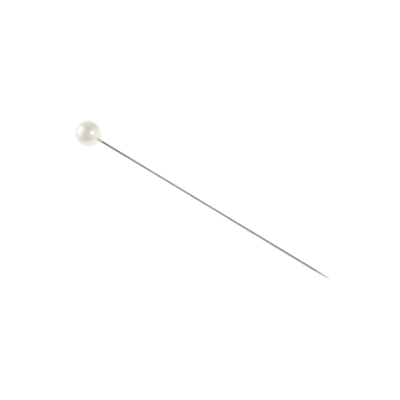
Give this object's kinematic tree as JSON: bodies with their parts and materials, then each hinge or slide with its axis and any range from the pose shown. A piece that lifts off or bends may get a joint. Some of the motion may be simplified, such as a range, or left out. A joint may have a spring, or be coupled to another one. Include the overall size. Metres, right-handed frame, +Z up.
{
  "type": "hat pin",
  "caption": "Straight hat pin with a ground point, a pearl bead head and a small metal collar, for holding a hat to hair or a veil to felt.",
  "frame": {"origin": "on the level surface that the pin lies on, under the middle of its length", "axes": "+X from the bead towards the point, +Z up from the surface, +Y across"},
  "size_m": [0.0888, 0.008, 0.008],
  "materials": {
    "nickelled_steel": "satin",
    "collar_metal": "satin",
    "cement": "satin",
    "bead_plastic": "matte",
    "pearl_lacquer": "gloss"
  },
  "bodies": {
    "root": {"shank": "nickelled_steel", "collar": "collar_metal", "cement": "cement", "bead_core": "bead_plastic", "pearl_coat": "pearl_lacquer"}
  },
  "joints": []
}
